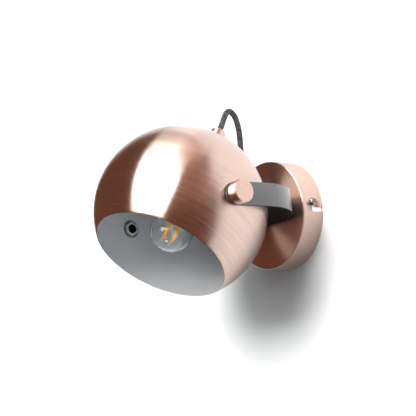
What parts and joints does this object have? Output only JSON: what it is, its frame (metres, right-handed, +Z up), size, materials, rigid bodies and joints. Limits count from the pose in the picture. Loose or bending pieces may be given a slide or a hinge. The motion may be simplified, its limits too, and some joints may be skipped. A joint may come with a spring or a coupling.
{
  "type": "pivoting spotlight wall light",
  "caption": "Wall spotlight: a ball shade cut open on one side tilts between clamp knobs on a bent strip bow, which swivels on a round wall cup; a cord loops from the pole to the cup.",
  "frame": {"origin": "centre of the wall cup's back edge, in the wall's plane, midway between the two fixing slots", "axes": "+Y into the wall, +Z up, +X along the shade's pivot axis, to the right seen from the room"},
  "size_m": [0.209, 0.2345, 0.2036],
  "materials": {
    "brushed_copper": "steel plated with copper, brushed in rings and lacquered; the shade's inside is painted white",
    "zinc_steel": "zinc plated",
    "grey_washer": "grey zinc",
    "grey_paint": "satin grey powder paint",
    "black_rubber": "matt",
    "black_plastic": "matt",
    "white_plastic": "moulded",
    "textile_cord": "round braided textile sheath, dark grey",
    "brass": "bright",
    "brown_wire": "insulation",
    "blue_wire": "insulation",
    "green_wire": "insulation",
    "clear_glass": "clear",
    "amber_filament": "phosphor coating"
  },
  "bodies": {
    "base": {"wall_bracket": "zinc_steel", "canopy_cup": "brushed_copper", "canopy_screws": "zinc_steel", "terminal_block": "white_plastic", "terminal_screws": "brass", "earth_screw": "brass", "live_wire": "brown_wire", "neutral_wire": "blue_wire", "earth_wire": "green_wire"},
    "bow": {"bow": "grey_paint", "swivel_nipple": "zinc_steel", "swivel_spacer": "black_rubber", "swivel_front_nut": "zinc_steel", "swivel_rear_washer": "zinc_steel", "swivel_rear_nut": "zinc_steel", "cord_bush": "black_plastic", "cord_tail": "textile_cord", "supply_cord": "textile_cord"},
    "shade": {"shade": "brushed_copper", "pivot_nipples": "zinc_steel", "inner_nuts": "zinc_steel", "inner_washers": "grey_washer", "friction_washers": "zinc_steel", "cord_gland": "brushed_copper", "cord_grip": "white_plastic", "stem_nipple": "zinc_steel", "pole_nut": "zinc_steel", "stem_cord": "textile_cord", "holder_cap": "white_plastic", "holder_shell": "white_plastic", "holder_core": "white_plastic", "thread_sleeve": "brass", "centre_contact": "brass", "bulb_globe": "clear_glass", "bulb_cap": "zinc_steel", "bulb_insulator": "black_plastic", "bulb_tip": "zinc_steel", "bulb_stem": "clear_glass", "filament_supports": "zinc_steel", "filaments": "amber_filament"},
    "near_knob": {"near_knob": "brushed_copper"},
    "far_knob": {"far_knob": "brushed_copper"}
  },
  "joints": [
    {"name": "bow_swivel", "type": "hinge", "parent": "base", "child": "bow", "pos_m": [0, -0.0285, 0], "axis": [0, 1, 0], "range_deg": [-60, 60]},
    {"name": "shade_tilt", "type": "hinge", "parent": "bow", "child": "shade", "pos_m": [0, -0.1445, 0], "axis": [1, 0, 0], "range_deg": [-18, 30], "deforming": ["supply_cord"]},
    {"name": "near_knob_turn", "type": "hinge", "parent": "shade", "child": "near_knob", "pos_m": [0.0935, -0.1445, 0], "axis": [1, 0, 0], "range_deg": [0, 180]},
    {"name": "far_knob_turn", "type": "hinge", "parent": "shade", "child": "far_knob", "pos_m": [-0.0935, -0.1445, 0], "axis": [-1, 0, 0], "range_deg": [0, 180]}
  ]
}
